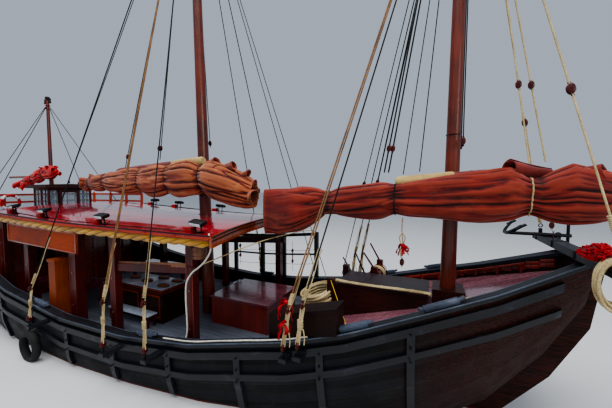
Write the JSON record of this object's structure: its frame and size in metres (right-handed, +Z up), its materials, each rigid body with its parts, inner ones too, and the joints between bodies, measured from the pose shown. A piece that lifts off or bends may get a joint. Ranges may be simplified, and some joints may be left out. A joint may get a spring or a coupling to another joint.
{
  "type": "chinese junk ship",
  "caption": "Wooden junk afloat, with furled sails on raked spars, a lacquered canopy over the deck, a raised poop with a wheelhouse, and a stern rudder.",
  "frame": {"origin": "on the waterline, amidships, on the centre line", "axes": "+X to the bow, +Y to port, +Z up"},
  "size_m": [19.9128, 5.979, 16.9521],
  "materials": {
    "tarred_timber": "black tarred planking with a slight blue sheen, worn at the edges",
    "bottom_paint": "red-brown paint on timber below the water",
    "grey_deck": "bare planks weathered grey",
    "red_deck": "red lacquered planks",
    "red_woodwork": "red-brown varnished boards",
    "dark_woodwork": "dark mahogany-coloured timber",
    "varnish": "orange-brown varnish",
    "mast_wood": "varnished red-brown spars",
    "roof_lacquer": "glossy red roof paint that mirrors the sky",
    "main_canvas": "terracotta sailcloth",
    "fore_canvas": "deep red sailcloth",
    "mizzen_canvas": "bright red sailcloth",
    "fringe": "golden yellow twisted fringe",
    "black_rope": "black tarred rope",
    "black_iron": "black paint on iron, a little worn",
    "rail_paint": "orange-red rail paint",
    "bronze": "dull bronze",
    "engine_paint": "grey-green paint"
  },
  "bodies": {
    "hull_body": {"hull": "tarred_timber", "engine": "engine_paint", "keel_and_stem": "bottom_paint", "bulwark_starboard": "tarred_timber", "bulwark_port": "tarred_timber", "transom": "tarred_timber", "bow_board": "tarred_timber", "wales_starboard": "tarred_timber", "wales_port": "tarred_timber", "cap_rail_starboard": "tarred_timber", "cap_rail_port": "tarred_timber", "main_deck": "grey_deck", "foredeck": "red_deck", "poop_deck": "red_deck", "cabin_side_starboard": "red_woodwork", "cabin_side_port": "red_woodwork", "cabin_front": "red_woodwork", "canopy_roof": "roof_lacquer", "roof_fascia": "varnish", "canopy_frame_starboard": "dark_woodwork", "canopy_frame_port": "dark_woodwork", "roof_beams": "dark_woodwork", "fringe_starboard": "fringe", "fringe_port": "fringe", "sign_board": "varnish", "roof_lamps_starboard": "black_iron", "roof_lamps_port": "black_iron", "counter": "dark_woodwork", "table_starboard": "red_woodwork", "table_port": "red_woodwork", "mooring_bitt": "varnish", "hatch_trunk": "red_woodwork", "stanchion_frame_port": "tarred_timber", "rail_chest": "dark_woodwork", "fore_hatch_coaming": "dark_woodwork", "windlass_posts": "dark_woodwork", "main_mast": "mast_wood", "fore_mast": "mast_wood", "mizzen_mast": "mast_wood", "fore_mast_collar": "dark_woodwork", "wheelhouse_walls": "varnish", "wheelhouse_roof": "dark_woodwork", "stern_rail": "rail_paint", "bow_beam": "tarred_timber", "anchor": "black_iron", "main_rigging": "black_rope", "fore_rigging": "black_rope", "mizzen_rigging": "black_rope"},
    "rudder_body": {"rudder": "bottom_paint"},
    "propeller_body": {"propeller": "bronze"},
    "windlass_body": {"windlass_barrel": "varnish"},
    "main_sail_set": {"main_boom": "mast_wood", "main_sail": "main_canvas"},
    "fore_sail_set": {"fore_boom": "mast_wood", "fore_sail": "fore_canvas"},
    "mizzen_sail_set": {"mizzen_sail": "mizzen_canvas"},
    "cabin_door_body": {"cabin_door": "varnish"},
    "wheelhouse_door_body": {"wheelhouse_door": "varnish"},
    "hatch_lid_body": {"hatch_lid": "red_deck"},
    "fore_hatch_lid_body": {"fore_hatch_lid": "red_deck"}
  },
  "joints": [
    {"name": "rudder_swing", "type": "hinge", "parent": "hull_body", "child": "rudder_body", "pos_m": [-9.06, 0, 0], "axis": [0, 0, 1], "range_deg": [-35, 35]},
    {"name": "propeller_spin", "type": "hinge", "parent": "hull_body", "child": "propeller_body", "pos_m": [-8.066, 0, -0.9], "axis": [1, 0, 0], "continuous": true},
    {"name": "windlass_spin", "type": "hinge", "parent": "hull_body", "child": "windlass_body", "pos_m": [5.6, 1.08, 2.03], "axis": [0, 1, 0], "continuous": true},
    {"name": "main_boom_swing", "type": "hinge", "parent": "hull_body", "child": "main_sail_set", "pos_m": [1.00831, 0, 4.2], "axis": [-0.0262, 0, 0.9997], "range_deg": [-30, 30]},
    {"name": "fore_boom_swing", "type": "hinge", "parent": "hull_body", "child": "fore_sail_set", "pos_m": [7.17001, 0, 3.8], "axis": [0.0115, 0, 0.9999], "range_deg": [-15, 20]},
    {"name": "mizzen_boom_swing", "type": "hinge", "parent": "hull_body", "child": "mizzen_sail_set", "pos_m": [-6.8, 0, 4.7], "axis": [0, 0, 1], "range_deg": [-30, 30]},
    {"name": "cabin_door_swing", "type": "hinge", "parent": "hull_body", "child": "cabin_door_body", "pos_m": [-4.875, -0.402, 1], "axis": [0, 0, -1], "range_deg": [0, 100]},
    {"name": "wheelhouse_door_swing", "type": "hinge", "parent": "hull_body", "child": "wheelhouse_door_body", "pos_m": [-5.475, -0.362, 3.5], "axis": [0, 0, -1], "range_deg": [0, 100]},
    {"name": "hatch_lid_swing", "type": "hinge", "parent": "hull_body", "child": "hatch_lid_body", "pos_m": [2.5, 0.974, 1.405], "axis": [-1, 0, 0], "range_deg": [0, 100]},
    {"name": "fore_hatch_lid_swing", "type": "hinge", "parent": "hull_body", "child": "fore_hatch_lid_body", "pos_m": [5.9, 0.494, 2.195], "axis": [-1, 0, 0], "range_deg": [0, 100]}
  ]
}
